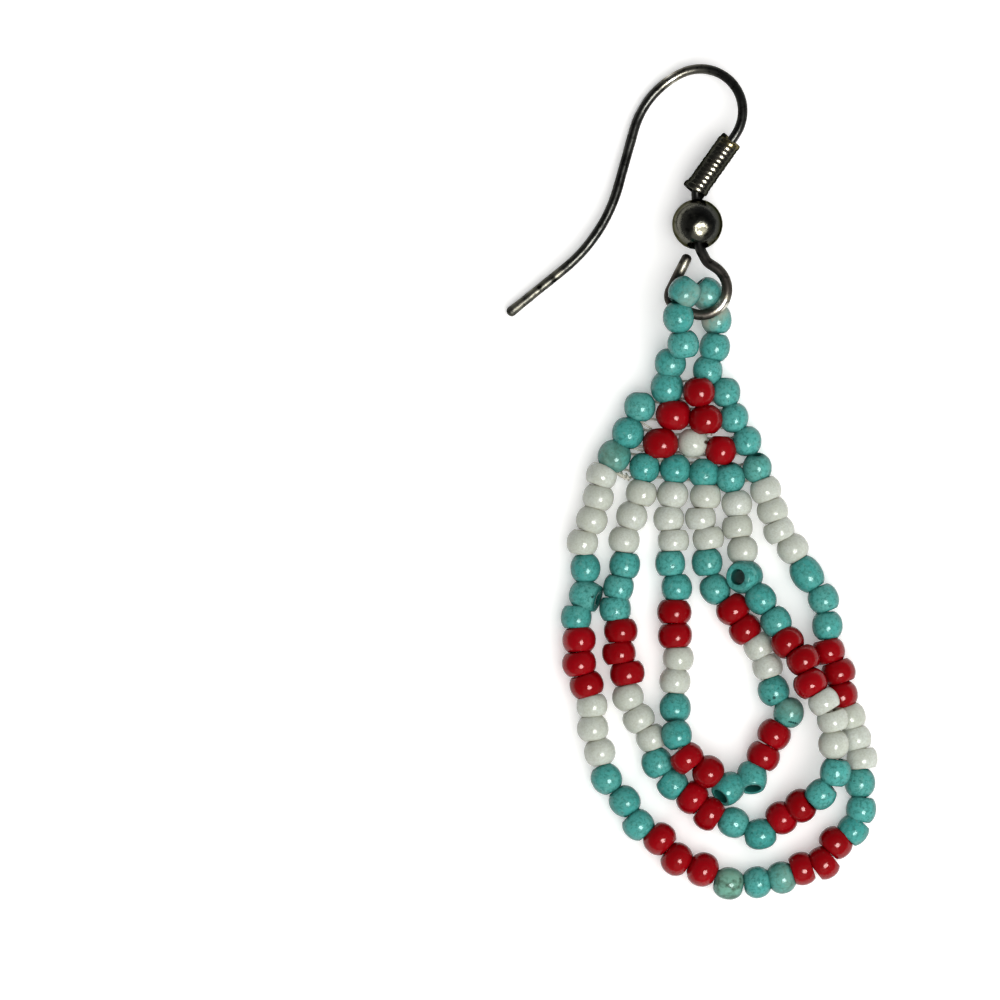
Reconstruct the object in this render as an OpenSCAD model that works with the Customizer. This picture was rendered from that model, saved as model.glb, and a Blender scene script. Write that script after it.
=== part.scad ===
// Seed bead drop earring, lying flat.
// Millimetres, +Z up. The surface that it lies on is z = 0, and the drop hangs towards -Y.

/* [Ear wire] */
// Diameter of the ear wire
wire_d = 0.6; // [0.5:0.02:0.62]
// Straight stretch at the free tip, which goes through the ear
tip_l = 4.5; // [4.2:0.1:4.6]

/* [Coil and ball] */
// Diameter of the fine wire wound round the shank
coil_wire_d = 0.34; // [0.26:0.02:0.36]
// Number of turns in the coil
coil_turns = 12; // [10:1:12]
// Diameter of the metal ball
ball_d = 3.1; // [2.9:0.1:3.2]
// Diameter of the hole through the ball
ball_hole_d = 1.2; // [1.15:0.05:1.3]

/* [Woven triangle] */
// Diameter of a seed bead across its hole
bead_d = 1.92; // [1.8:0.02:1.94]
// Length of a seed bead along its hole
bead_l = 1.36; // [1.2:0.02:1.38]
// Thickness of the thread and beads between the bulges
web_t = 0.9; // [0.6:0.1:1.2]

/* [Strings] */
// Diameter over the flats of the three strings that hang in loops
string_d = 1.8; // [1.6:0.05:1.8]
// Diameter over the flats of the short string that hangs in the ring
hanger_d = 1.7; // [1.5:0.05:1.75]

/* [Hidden] */

$fn = 48;
steel = "#4a4a46";
turquoise = "#46b0a4";

// Centre of the ball, and the lean of the ear wire's plane about X and Y there.
// With this lean the ball, the arch and the free tip all come down to the surface.
ball_at = [0.38, 16.04, ball_d / 2];
lean_x = -5.2;
lean_y = -8.3;
// Direction of the shank where it leaves the ball upwards, from +X
shank_turn = 93;
// Lean of the ball on its wire, which it hangs on loosely: its lower hole faces up a little
ball_lean = -9;

// The ear wire is two runs that start at the ball's centre.
// A row: straight length, then the radius of a bend and its angle, plus to the left.
wire_up = [
    [1.8, 0.8, -38],
    [3.9, 2.7, 150],
    [0, 5.5, 50],
    [3.7, 10, -36]
];
wire_down = [
    [1.6, 1.1, 58],
    [0.5, 1.6, -173],
    [1.0, 0.8, -94.5],
    [2.3, 0, 0]
];

// Largest turn between two stations of a bend
bend_step = 13;
// How far the free tip's rod covers the bent tube's end, and by how much it is larger in radius
tip_lap = 0.2;
skin = 0.006;

// The coil reaches from the end of the first bend, a little below the straight, to the arch
coil_gap = 0.09;
coil_in_r = wire_d / 2 + coil_gap;
coil_out_r = coil_in_r + coil_wire_d;
coil_pitch = coil_wire_d + 0.005;
coil_l = coil_turns * coil_pitch;
coil_start = -0.25;

// Height of the middle of the beads above the surface
lie_z = 0.98;

// Rows of the triangle from the base up. A row: x and y of each bead's centre.
rows = [
    [[-4.8, 1.5], [-2.9, 0.8], [-1.0, 0.6], [0.8, 0.4], [2.5, 0.2], [4.2, 0.8]],
    [[-4.0, 2.9], [-2.0, 2.3], [0.2, 2.3], [2.0, 1.8], [3.6, 2.4]],
    [[-3.2, 4.6], [-1.0, 4.0], [0.9, 3.8], [2.7, 3.8]],
    [[-1.6, 5.8], [0.5, 5.5], [2.2, 5.5]],
    [[-1.4, 7.3], [1.0, 6.9]]
];

// Routes of the strings, a row every two beads or so: x, y, z of the string's middle
hanger_route = [
    [-0.8, 8.3, 1.9], [-0.6, 9.2, 2.6], [-0.8, 10.3, 3.2], [-0.4, 11.4, 3.1],
    [0.4, 12.0, 2.1], [1.2, 11.4, 1.1], [1.6, 10.2, 1.0], [1.6, 9.0, 1.0], [1.4, 8.1, 1.0]
];
outer_route = [
    [-5.5, 0.3, 1.0], [-6.2, -2.6, 1.0], [-6.7, -5.5, 1.0], [-7.2, -8.4, 1.0],
    [-7.0, -11.4, 1.0], [-6.2, -14.2, 1.0], [-5.7, -17.1, 1.0], [-4.1, -20.0, 1.0],
    [-2.0, -22.4, 1.0], [0.7, -24.2, 1.0], [4.1, -25.1, 1.0], [6.8, -24.2, 1.0],
    [9.0, -22.7, 1.0], [10.5, -20.4, 1.0], [10.6, -17.4, 1.0], [10.2, -14.7, 1.0],
    [9.3, -11.9, 1.0], [8.5, -9.0, 1.0], [7.2, -5.9, 1.0], [5.5, -3.2, 1.0], [4.7, -0.5, 1.0]
];
middle_route = [
    [-3.1, -0.6, 1.0], [-4.2, -3.8, 1.0], [-4.7, -6.7, 1.0], [-4.5, -9.4, 1.0],
    [-4.0, -12.1, 1.0], [-3.3, -14.9, 1.0], [-2.1, -17.7, 1.0], [0.2, -20.0, 1.0],
    [2.6, -21.4, 1.0], [4.3, -22.0, 1.0], [6.2, -20.9, 1.2], [8.1, -19.6, 2.1],
    [8.9, -16.6, 2.5], [8.4, -13.9, 2.7], [7.1, -11.2, 2.4], [5.4, -8.7, 1.8],
    [3.6, -6.0, 1.4], [3.1, -3.0, 1.0], [2.8, -1.2, 1.0]
];
inner_route = [
    [-1.1, -0.9, 1.0], [-1.1, -3.8, 1.0], [-0.9, -6.7, 1.0], [-1.0, -9.7, 1.0],
    [-0.9, -12.5, 1.0], [-0.8, -15.5, 1.2], [0.0, -17.2, 1.4], [1.3, -18.1, 1.4],
    [2.5, -18.9, 1.4], [3.8, -18.5, 1.1], [5.1, -15.9, 1.0], [5.9, -14.5, 1.0],
    [5.2, -13.1, 1.0], [4.2, -10.4, 1.0], [2.6, -8.0, 1.0], [1.0, -5.2, 1.0],
    [0.8, -2.5, 1.0], [0.8, -1.1, 1.0]
];
// How far a string reaches past the first and last points of its route
end_reach = 0.35;

function unit(v) = v / norm(v);

// Direction of a route at its point i
function along(p, i) = unit(p[min(i + 1, len(p) - 1)] - p[max(i - 1, 0)]);

// A route with both its ends carried on a little
function carried_on(p) = [for (i = [0:len(p) - 1])
    p[i] + (i == 0 ? -end_reach : i == len(p) - 1 ? end_reach : 0) * along(p, i)];

// Pose of a wire run after n rows: x, y, heading
function pose(run, n, at) = n == 0 ? at :
    let (q = pose(run, n - 1, at), s = run[n - 1], side = sign(s[2]),
        x = q[0] + s[0] * cos(q[2]), y = q[1] + s[0] * sin(q[2]))
    [x + side * s[1] * (sin(q[2] + s[2]) - sin(q[2])),
     y - side * s[1] * (cos(q[2] + s[2]) - cos(q[2])), q[2] + s[2]];

// Puts its children in the ear wire's own plane, with the ball's centre at 0
module in_wire_plane() {
    translate(ball_at) rotate([lean_x, lean_y, 0]) children();
}

// Stations of a wire run, x, y, heading: at its start and along every bend
function stations(run, at) = concat([at], [for (n = [0:len(run) - 1])
    let (q = pose(run, n, at), s = run[n], steps = ceil(abs(s[2]) / bend_step))
    for (k = [s[0] > 0 ? 0 : 1:steps]) pose([[s[0], s[1], s[2] * k / max(steps, 1)]], 1, q)]);

// The whole wire in one list, from just inside the tip to the end of the ring
function wire_stations() =
    let (up = stations(wire_up, [0, 0, shank_turn]),
        down = stations(wire_down, [0, 0, shank_turn - 180]))
    concat([for (i = [len(up) - 1:-1:1]) [up[i][0], up[i][1], up[i][2] + 180]], down);

// A closed tube through points, with its own direction at each point
module swept(points, directions, r, sides, up_dir) {
    n = len(points);
    half = 180 / sides;
    rings = [for (i = [0:n - 1])
        let (side = unit(cross(directions[i], up_dir)), up = cross(side, directions[i]))
        for (k = [0:sides - 1])
            points[i] + r * (cos(half + 2 * half * k) * side + sin(half + 2 * half * k) * up)];
    walls = [for (i = [0:n - 2], k = [0:sides - 1])
        [sides * i + k, sides * i + (k + 1) % sides,
         sides * (i + 1) + (k + 1) % sides, sides * (i + 1) + k]];
    first_cap = [for (k = [sides - 1:-1:0]) k];
    last_cap = [for (k = [0:sides - 1]) sides * (n - 1) + k];
    polyhedron(points = rings, faces = concat(walls, [first_cap, last_cap]));
}

// The bent wire is a tube, and its free tip a true round rod that covers the tube's end
module ear_hook() {
    w = wire_stations();
    tip = pose(wire_up, len(wire_up), [0, 0, shank_turn]);
    color(steel) in_wire_plane() {
        swept([for (q = w) [q[0], q[1], 0]], [for (q = w) [cos(q[2]), sin(q[2]), 0]],
            wire_d / 2 - skin, 12, [0, 0, 1]);
        translate([tip[0], tip[1], 0]) rotate(tip[2]) rotate([0, 90, 0])
            translate([0, 0, -tip_lap]) cylinder(d = wire_d, h = tip_l + tip_lap);
    }
}

// Outline of the coil's wall: flat inside, a round rib for each turn outside
function coil_wall() = concat(
    [[coil_in_r, 0]],
    [for (t = [0:coil_turns - 1], a = [-60:30:60])
        [coil_out_r - coil_wire_d / 2 * (1 - cos(a)), (t + 0.5 + sin(a) / 2) * coil_pitch]],
    [[coil_in_r, coil_l]]
);

module wire_coil() {
    q = pose(wire_up, 1, [0, 0, shank_turn]);
    color(steel) in_wire_plane() translate([q[0], q[1], 0]) rotate(q[2])
        translate([coil_start, 0, 0]) rotate([0, 90, 0]) rotate_extrude() polygon(coil_wall());
}

module ball_bead() {
    color(steel) in_wire_plane() rotate([ball_lean, 0, 0]) rotate(shank_turn) difference() {
        sphere(d = ball_d);
        rotate([0, 90, 0]) cylinder(d = ball_hole_d, h = ball_d * 2, center = true);
    }
}

// Half the section of a bead: a round belly between two flat ends
function bead_section() = concat([[0, -bead_l / 2]],
    [for (y = [-2:2]) [sqrt(pow(bead_d / 2, 2) - pow(y * bead_l / 4, 2)), y * bead_l / 4]],
    [[0, bead_l / 2]]);

// One bead of the triangle, with its hole along Y
module bead(at) {
    translate([at[0], at[1], lie_z]) rotate([90, 0, 0]) rotate_extrude() polygon(bead_section());
}

// Corners of the web: along the base, up the right ends of the rows, down the left ends
function web_outline() = concat(
    rows[0],
    [for (r = [1:len(rows) - 1]) rows[r][len(rows[r]) - 1]],
    [for (r = [len(rows) - 1:-1:1]) rows[r][0]]
);

module woven_top() {
    color(turquoise) union() {
        translate([0, 0, lie_z - web_t / 2]) linear_extrude(web_t) polygon(web_outline());
        for (row = rows, at = row) bead(at);
    }
}

// Eight-sided tube of beads along a route
module string_tube(route, flats_d, up_dir = [0, 0, 1]) {
    p = carried_on(route);
    color(turquoise) swept(p, [for (i = [0:len(p) - 1]) along(p, i)],
        flats_d / 2 / cos(22.5), 8, up_dir);
}

module hanging_loop() {
    string_tube(hanger_route, hanger_d, [0.8, 0, 0.6]);
}

module outer_loop() {
    string_tube(outer_route, string_d);
}

module middle_loop() {
    string_tube(middle_route, string_d);
}

module inner_loop() {
    string_tube(inner_route, string_d);
}

ear_hook();
wire_coil();
ball_bead();
hanging_loop();
woven_top();
outer_loop();
middle_loop();
inner_loop();
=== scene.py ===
import math

import bpy
import numpy as np
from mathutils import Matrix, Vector


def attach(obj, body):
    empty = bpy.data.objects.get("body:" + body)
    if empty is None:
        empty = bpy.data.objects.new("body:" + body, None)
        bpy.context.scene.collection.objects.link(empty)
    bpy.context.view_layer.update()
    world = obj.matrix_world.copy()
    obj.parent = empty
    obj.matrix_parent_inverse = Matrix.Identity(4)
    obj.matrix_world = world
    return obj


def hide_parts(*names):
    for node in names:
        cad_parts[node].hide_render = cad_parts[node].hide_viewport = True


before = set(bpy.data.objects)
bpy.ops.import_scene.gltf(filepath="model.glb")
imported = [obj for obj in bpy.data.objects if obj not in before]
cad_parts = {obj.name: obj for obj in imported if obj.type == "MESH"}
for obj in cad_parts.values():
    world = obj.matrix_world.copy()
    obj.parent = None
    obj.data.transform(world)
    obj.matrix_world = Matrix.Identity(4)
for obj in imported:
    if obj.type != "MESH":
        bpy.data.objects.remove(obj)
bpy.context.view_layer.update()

MM = 0.001
# The one source of random numbers, seeded, so each run draws the same
rng = np.random.default_rng(11)


# ---------------------------------------------------------------- sizes, in mm
# The wire, the coil, the ball, the routes and the rows are as in the solids, but for what is noted
WIRE_R = 0.3
COIL_WIRE_R = 0.17
COIL_GAP = 0.09
COIL_TURNS = 12
COIL_PITCH = 0.345
COIL_START = -0.25
BALL_R = 1.55
BALL_AT = np.array([0.38, 16.04, 1.55])
# The photograph's ball is a little larger than the solid and lower. Its hole is 0.05 wider, and
# lower end faces 3 degrees further up
BALL_MORE = 0.03
BALL_SHIFT = np.array([0.0, -0.05, 0.035])
BALL_HOLE_R = 0.65
BALL_LEAN = math.radians(-12)
# The ear wire's own plane leans about the ball; its shank turns by so many degrees from +X
LEAN_X, LEAN_Y = math.radians(-5.2), math.radians(-8.3)
SHANK_TURN = 93
TIP_L = 4.5
# A row: straight length, then the radius of a bend and its angle, plus to the left
WIRE_UP = [[1.8, 0.8, -38], [3.9, 2.7, 150], [0, 5.5, 50], [3.7, 10, -36], [TIP_L, 0, 0]]
# The last straight is 0.18 longer than in the solid
WIRE_DOWN = [[1.6, 1.1, 58], [0.5, 1.6, -173], [1.0, 0.8, -94.5], [2.48, 0, 0]]
RUN_STEP = 0.25
# The neck below the ball moves to the right round this height, by the reach and so far
NECK_Y, NECK_REACH, NECK_MOVE = 14.0, 0.55, 0.22
# The wire of the ring is a little thicker, and so is the end of the tip
RING_THICKER = 1.09
TIP_THICKER = (1.05, 1.05, 1.04, 1.02, 1.01)
# The worn stretch from the tip on, and where the ring's dull film starts and how it comes in
WORN_L = 6.5
FILM_Y, FILM_REACH = 14.6, 1.5
# Painted highlights on the ear wire, a lighter metal colour where the lamp's reflection falls: x,
# y, reach and how much, over 1 for a glint
WIRE_PAINTED_HIGHLIGHTS = [(-1.25, 25.15, 0.46, 1.9), (-0.5, 25.4, 1.5, 0.35), (1.9, 10.95, 0.46, 2.6),
               (-0.49, 13.27, 0.38, 1.3), (-8.35, 12.95, 0.24, 0.5), (-9.1, 12.35, 0.20, 0.4),
               (-9.85, 11.75, 0.34, 0.55), (-10.8, 11.0, 0.40, 0.4)]
# Half the width of the coil's flattened wire, across the shank and along it
COIL_OUT, COIL_ALONG = 0.18, 0.205
# It hangs to the left on the wire, its first turn is wider, and that turn's end is tucked in
COIL_LEFT, FIRST_WIDER, END_TUCK = 0.05, 0.13, 0.16
# Where a highlight is painted on its turns, as a lighter metal colour round the side that faces
# the lamp: angle round the shank and reach, in degrees
PAINTED_HIGHLIGHT_AT, PAINTED_HIGHLIGHT_REACH = 101, 21
# Dents of the ball, the first one its flattened front: direction, reach in radians, depth
DENTS = [
    ((0.15, -0.16, 0.97), 0.36, 0.070), ((0.06, -0.36, 0.93), 0.20, 0.022),
    ((-0.75, 0.20, 0.6), 0.30, 0.012), ((0.55, 0.45, 0.7), 0.28, 0.012),
    ((-0.3, -0.5, 0.8), 0.22, 0.010),
]
# Patches of the metal: place, reach along x, y and z, colour, and how much of it
WIRE_PATCHES = [
    ((-8.58, 12.56, 0.7), (0.20, 0.20, 0.9), (0.012, 0.012, 0.010), 1.0),
    ((-9.45, 12.03, 0.6), (0.14, 0.18, 0.9), (0.012, 0.012, 0.010), 1.0),
]
COIL_PATCHES = [((2.55, 21.15, 1.9), (0.55, 0.45, 2.0), (0.260, 0.215, 0.090), 0.7)]
BALL_SMUDGES_AND_PAINTED_LIGHT = [
    # Painted dark reflection: the metal darker over the ball's right side
    ((1.15, 16.15, 2.2), (1.30, 1.50, 1.6), (0.030, 0.032, 0.032), 0.8),
    # Painted highlight: the metal lighter round the front, where the lamp's reflection falls
    ((0.60, 15.55, 2.98), (0.60, 0.55, 0.6), (0.150, 0.145, 0.115), 1.0),
    ((0.64, 15.64, 2.98), (0.40, 0.17, 0.6), (0.022, 0.021, 0.016), 1.0),
    ((0.86, 15.42, 2.98), (0.20, 0.20, 0.6), (0.030, 0.029, 0.022), 1.0),
]

# Routes of the strings: x, y, z of the string's middle
ROUTES = {
    "hanging_loop": [
        (-0.8, 8.3, 1.9), (-0.6, 9.2, 2.6), (-0.8, 10.3, 3.2), (-0.4, 11.4, 3.1),
        (0.4, 12.0, 2.1), (1.2, 11.4, 1.1), (1.6, 10.2, 1.0), (1.6, 9.0, 1.0), (1.4, 8.1, 1.0)],
    "outer_loop": [
        (-5.5, 0.3, 1.0), (-6.2, -2.6, 1.0), (-6.7, -5.5, 1.0), (-7.2, -8.4, 1.0),
        (-7.0, -11.4, 1.0), (-6.2, -14.2, 1.0), (-5.7, -17.1, 1.0), (-4.1, -20.0, 1.0),
        (-2.0, -22.4, 1.0), (0.7, -24.2, 1.0), (4.1, -25.1, 1.0), (6.8, -24.2, 1.0),
        (9.0, -22.7, 1.0), (10.5, -20.4, 1.0), (10.6, -17.4, 1.0), (10.2, -14.7, 1.0),
        (9.3, -11.9, 1.0), (8.5, -9.0, 1.0), (7.2, -5.9, 1.0), (5.5, -3.2, 1.0),
        (4.7, -0.5, 1.0)],
    "middle_loop": [
        (-3.1, -0.6, 1.0), (-4.2, -3.8, 1.0), (-4.7, -6.7, 1.0), (-4.5, -9.4, 1.0),
        (-4.0, -12.1, 1.0), (-3.3, -14.9, 1.0), (-2.1, -17.7, 1.0), (0.2, -20.0, 1.0),
        (2.6, -21.4, 1.0), (4.3, -22.0, 1.0), (6.2, -20.9, 1.2), (8.1, -19.6, 2.1),
        (8.9, -16.6, 2.5), (8.4, -13.9, 2.7), (7.1, -11.2, 2.4), (5.4, -8.7, 1.8),
        (3.6, -6.0, 1.4), (3.1, -3.0, 1.0), (2.8, -1.2, 1.0)],
    "inner_loop": [
        (-1.1, -0.9, 1.0), (-1.1, -3.8, 1.0), (-0.9, -6.7, 1.0), (-1.0, -9.7, 1.0),
        (-0.9, -12.5, 1.0), (-0.8, -15.5, 1.2), (0.0, -17.2, 1.4), (1.3, -18.1, 1.4),
        (2.5, -18.9, 1.4), (3.8, -18.5, 1.1), (5.1, -15.9, 1.0), (5.9, -14.5, 1.0),
        (5.2, -13.1, 1.0), (4.2, -10.4, 1.0), (2.6, -8.0, 1.0), (1.0, -5.2, 1.0),
        (0.8, -2.5, 1.0), (0.8, -1.1, 1.0)],
}

# Colours of the beads along each string, T turquoise, R red, W white
COLOURS = {
    "hanging_loop": "TTTTTT",
    "outer_loop": "WWWWTTTRRRWWWTTTRRRTTTRRRTTTWWWRRRTTTWWWW",
    "middle_loop": "WWWTTTRRRWWWTTRRTTRRTTWWWRRRTTTWWW",
    "inner_loop": "WWWTTRRWWTTRRTTRRTTWWRRTTWWW",
}
# Where each bead of a string lies, x and y, along the route from left to right
PLACES = {
    "hanging_loop": [
        (-0.5, 8.5), (-0.8, 10.2), (-0.4, 11.75), (1.0, 11.65), (1.6, 10.0), (1.45, 8.3)],
    "outer_loop": [
        (-5.6, 0.3), (-5.8, -1.0), (-6.2, -2.45), (-6.8, -3.9), (-6.6, -5.5), (-6.65, -7.15),
        (-7.15, -8.35), (-7.0, -10.0), (-7.0, -11.4), (-6.5, -12.85), (-6.2, -14.0),
        (-6.15, -15.45), (-5.7, -17.0), (-5.3, -18.6), (-4.1, -20.1), (-3.3, -21.5),
        (-2.0, -22.35), (-0.9, -23.65),
        (0.7, -24.3), (2.45, -25.2), (4.15, -25.1), (5.7, -24.8), (6.9, -24.25), (8.2, -23.95),
        (9.1, -22.55), (10.2, -21.75), (10.6, -20.85), (10.55, -18.7), (10.7, -17.4),
        (10.3, -16.15), (9.95, -14.8), (9.35, -13.4), (9.2, -11.95), (8.6, -10.75), (8.5, -9.0),
        (8.3, -7.45), (7.3, -5.95), (6.25, -4.1), (5.5, -3.15), (5.1, -1.9), (4.65, -0.6)],
    "middle_loop": [
        (-3.1, -0.75), (-3.7, -2.2), (-4.2, -3.8), (-4.15, -5.3), (-4.55, -6.75), (-4.75, -7.9),
        (-4.4, -9.4), (-4.5, -10.8), (-4.0, -12.0), (-3.95, -13.45), (-3.2, -15.0), (-2.5, -15.95),
        (-2.05, -17.8), (-1.2, -18.9), (0.1, -19.8), (1.1, -20.8), (2.6, -21.35), (4.35, -22.1),
        (5.7, -21.05), (6.8, -20.35), (8.1, -19.6), (8.95, -18.6), (8.9, -16.3), (8.85, -14.92),
        (8.35, -13.9), (7.45, -12.7), (7.0, -11.2), (6.0, -10.1), (5.3, -8.8), (4.45, -7.55),
        (3.35, -6.0), (3.17, -4.0), (2.9, -3.1), (2.85, -1.4)],
    "inner_loop": [
        (-1.15, -0.8), (-1.4, -2.5), (-1.1, -3.75), (-1.3, -5.15), (-0.9, -6.7), (-1.05, -8.2),
        (-1.0, -9.7), (-0.8, -11.1), (-1.0, -12.5), (-1.0, -14.2), (-0.95, -15.9), (-0.25, -17.4),
        (0.9, -18.1), (2.35, -19.25), (3.8, -18.55), (4.6, -17.05), (5.03, -16.15), (6.1, -14.5),
        (5.15, -13.1), (4.78, -11.6), (4.25, -10.4), (3.35, -9.25), (2.7, -8.15), (1.45, -6.7),
        (1.0, -5.1), (1.1, -3.6), (0.6, -2.4), (0.9, -0.95)],
}
# Rows of the woven triangle from the base up: x, y and colour of each bead
ROWS = [
    [(-4.8, 1.5, "T"), (-2.9, 0.8, "T"), (-0.95, 0.7, "T"), (0.85, 0.4, "T"), (2.4, 0.2, "T"),
     (4.1, 0.75, "T")],
    [(-3.95, 2.95, "T"), (-1.9, 2.3, "R"), (0.15, 2.35, "W"), (1.85, 1.9, "R"), (3.45, 2.45, "T")],
    [(-3.2, 4.6, "T"), (-1.05, 4.1, "R"), (0.9, 3.8, "R"), (2.65, 3.9, "T")],
    [(-1.5, 5.85, "T"), (0.5, 5.55, "R"), (2.15, 5.5, "T")],
    [(-1.3, 7.3, "T"), (1.05, 6.9, "T")],
]
# Beads that have turned on the thread: string, place in it, direction of the hole
TURNED = {
    ("outer_loop", 5): (0.90, -0.30, 0.27),
    ("middle_loop", 20): (0.75, 0.66, 0.10),
    ("middle_loop", 30): (-0.52, -0.03, 0.85),
    ("inner_loop", 13): (-0.68, -0.60, 0.42),
    ("inner_loop", 14): (0.05, -0.86, 0.50),
    ("inner_loop", 17): (0.06, 0.99, 0.04),
    ("hanging_loop", 0): (-0.14, 0.97, 0.10),
    ("hanging_loop", 1): (0.02, 0.97, 0.16),
    ("hanging_loop", 2): (0.62, 0.74, -0.12),
    ("hanging_loop", 3): (0.66, -0.74, -0.10),
    ("woven_top", 0): (0.42, 0.84, -0.34),
    ("woven_top", 4): (-0.10, 0.94, 0.27),
    ("woven_top", 5): (-0.02, 0.93, 0.33),
}
# Beads whose glaze is greyish: how much, and towards which side, in degrees from +X
FADED = {
    ("hanging_loop", 2): (0.4, -45), ("hanging_loop", 3): (0.4, -115),
    ("hanging_loop", 4): (1.4, 130), ("outer_loop", 19): (0.3, 90), ("outer_loop", 21): (0.3, 0),
    ("woven_top", 0): (0.35, 200), ("inner_loop", 17): (0.35, 60),
}
# Beads with dark stains: how much
STAINED = {
    ("outer_loop", 19): 0.9, ("outer_loop", 21): 0.3, ("woven_top", 0): 0.25,
    ("woven_top", 5): 0.1, ("inner_loop", 17): 0.15, ("middle_loop", 19): 0.1,
}
# Heights of the beads that lie off their string's route
HEIGHTS = {
    ("hanging_loop", 0): 2.35, ("hanging_loop", 1): 3.0, ("hanging_loop", 2): 3.05,
    ("woven_top", 18): 1.2,
}
# Beads of another size than their colour's: share of it
SIZES = {
    ("middle_loop", 30): 1.12, ("middle_loop", 5): 1.05, ("middle_loop", 17): 1.03,
    ("hanging_loop", 2): 1.04, ("hanging_loop", 3): 1.07,
    ("outer_loop", 5): 0.99, ("outer_loop", 19): 1.06, ("outer_loop", 20): 1.03,
    ("outer_loop", 21): 1.06, ("outer_loop", 36): 1.01,
    ("woven_top", 0): 1.06, ("woven_top", 5): 0.95, ("woven_top", 6): 1.06, ("woven_top", 7): 1.05,
    ("woven_top", 8): 0.96, ("woven_top", 9): 0.91, ("woven_top", 10): 0.95,
    ("woven_top", 12): 1.04, ("woven_top", 13): 1.01, ("woven_top", 14): 0.94,
    ("woven_top", 15): 1.09, ("woven_top", 16): 0.95, ("woven_top", 17): 0.95,
    ("woven_top", 19): 0.97,
}
# Beads of a shape of their own: half the length, then the ends' shares of the diameter
SHAPES = {
    ("outer_loop", 5): (0.90, 0.45, 0.86), ("inner_loop", 17): (0.93, 0.42, 0.42),
    ("middle_loop", 17): (0.97, 0.48, 0.48), ("outer_loop", 36): (1.03, 0.61, 0.61),
    ("hanging_loop", 1): (0.93, 0.46, 0.46), ("middle_loop", 30): (0.90, 0.76, 0.76),
    ("outer_loop", 19): (0.91, 0.50, 0.50), ("outer_loop", 20): (0.82, 0.52, 0.52),
    ("outer_loop", 21): (0.83, 0.50, 0.50), ("inner_loop", 16): (0.77, 0.66, 0.66),
    ("inner_loop", 13): (0.82, 0.76, 0.76), ("inner_loop", 14): (0.82, 0.76, 0.76),
}
# Beads whose hole is open to view: its radius
OPEN = {("middle_loop", 30): 0.46, ("inner_loop", 13): 0.48, ("inner_loop", 14): 0.48}
# Small dark chips and pits: x, y from the bead's centre as seen from above, and radius
SPOTS = {
    ("woven_top", 8): [(0.80, 0.02, 0.12)],
    ("inner_loop", 18): [(0.01, -0.44, 0.10), (-0.29, -0.62, 0.09)],
    ("inner_loop", 17): [(0.00, -0.56, 0.06), (0.12, -0.58, 0.07), (0.26, -0.61, 0.07),
                         (0.40, -0.66, 0.08), (0.52, -0.70, 0.06)],
    ("outer_loop", 5): [(0.48, -0.12, 0.08)],
}
# Bits of thread that show between the woven beads: points x, y, z along each
GLIMPSES = [
    [(-3.2, 3.75, 0.9), (-2.9, 3.50, 0.95), (-2.5, 3.25, 0.9)],
    [(-3.9, 2.05, 0.7), (-3.5, 1.98, 0.85), (-3.0, 1.85, 0.8)],
    [(-2.3, 1.42, 0.9), (-1.9, 1.36, 1.15), (-1.4, 1.28, 1.0)],
    [(-2.2, 1.28, 0.9), (-1.8, 1.22, 1.05), (-1.5, 1.2, 0.9)],
    [(-0.9, 1.62, 0.7), (-0.5, 1.52, 0.95), (0.0, 1.46, 1.0), (0.5, 1.40, 0.8)],
    [(-0.7, 1.50, 0.8), (-0.2, 1.60, 0.9), (0.3, 1.52, 0.9)],
    [(-0.9, 3.22, 1.0), (-0.75, 3.26, 1.25), (-0.6, 3.22, 1.0)],
    [(-0.45, 4.86, 1.0), (-0.3, 4.9, 1.25), (-0.15, 4.86, 1.0)],
    [(0.98, 2.88, 1.0), (1.13, 2.92, 1.2), (1.28, 2.86, 1.0)],
    [(-4.7, 0.55, 0.9), (-4.4, 0.36, 1.15), (-4.1, 0.26, 1.0), (-3.8, 0.14, 0.9)],
    [(-4.6, 0.42, 0.9), (-4.3, 0.22, 1.05), (-4.0, 0.12, 1.1), (-3.7, 0.22, 0.9)],
    [(-4.35, 0.50, 0.9), (-4.25, 0.30, 1.2), (-4.15, 0.10, 0.9)],
    [(-4.05, 0.42, 0.8), (-3.95, 0.22, 1.15), (-3.9, 0.02, 0.8)],
]
# Diameter, length and width of the ends, as a share of the diameter, by colour of bead
KINDS = {"T": (1.94, 1.64, 0.62), "R": (2.14, 1.46, 0.70), "W": (1.97, 1.42, 0.69)}
WORDS = {"T": "turquoise", "R": "red", "W": "white"}
# Half the length, then the ends' shares of the diameter, of the woven beads
WOVEN_SHAPES = {"T": (0.91, 0.42, 0.42), "R": (0.89, 0.46, 0.46), "W": (0.87, 0.44, 0.44)}
# The woven beads that the two ends of each string hang from, counted from the base up
HUNG = {"hanging_loop": (18, 19), "outer_loop": (0, 5), "middle_loop": (1, 4),
        "inner_loop": (2, 3)}
# Radius of a bead's hole, and height of the centre of a bead that lies on the surface
HOLE_R = 0.36
LIE_Z = 0.98
# Thread of the strings, with two strands side by side, and of the woven rows
THREAD_R, STRAND_SIDE = 0.11, 0.09
STITCH_R, CROSS_R, GLIMPSE_R = 0.10, 0.08, 0.075
STITCH_HALF = 0.8
# A string's thread stops so far from the centre of a turned bead
THREAD_STOP = 0.6
# Rounds in which beads that run into each other move apart
SETTLE_ROUNDS = 90
# How uneven the beads are: place, size, roundness and tilt; and a string bead's least and
# greatest length, as shares of its kind's
UNEVEN_PLACE, UNEVEN_SIZE, UNEVEN_ROUND, UNEVEN_TILT = 0.01, 0.015, 0.015, 0.04
SHORTEST, LONGEST = 0.85, 1.22
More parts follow.
